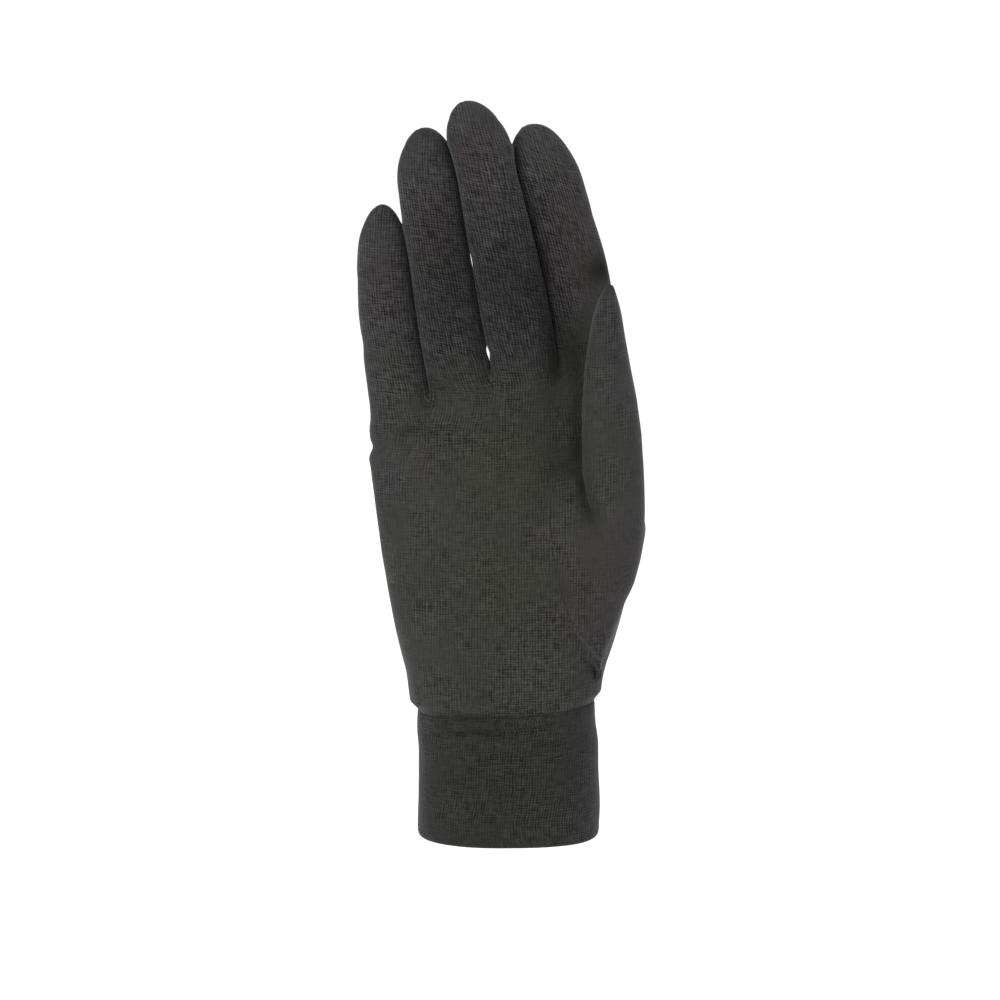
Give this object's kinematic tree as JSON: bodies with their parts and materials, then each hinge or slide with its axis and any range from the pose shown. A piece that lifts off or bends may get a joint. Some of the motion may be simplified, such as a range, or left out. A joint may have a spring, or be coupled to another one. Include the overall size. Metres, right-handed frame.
{
  "type": "knitted ski glove liner",
  "caption": "Thin knitted right-hand glove liner with a gusseted thumb, strips between the fingers and a folded wrist band, kept in the form that a hand gives it.",
  "frame": {"origin": "centre of the opening at the cuff's hem, where the wrist goes in", "axes": "+Z along the hand to the fingertips, -Y out of the palm, +X to the thumb's side"},
  "size_m": [0.0876, 0.0511, 0.2289],
  "materials": {
    "jersey": "fine plain jersey knit, matt, dark charcoal with a faint olive cast",
    "cuff_knit": "double layer of the same fine knit, matt, a little darker"
  },
  "bodies": {
    "root": {"palm_panel": "jersey", "back_panel": "jersey", "thumb": "jersey", "fourchette_little_ring": "jersey", "fourchette_ring_middle": "jersey", "fourchette_middle_index": "jersey", "cuff": "cuff_knit"}
  },
  "joints": []
}
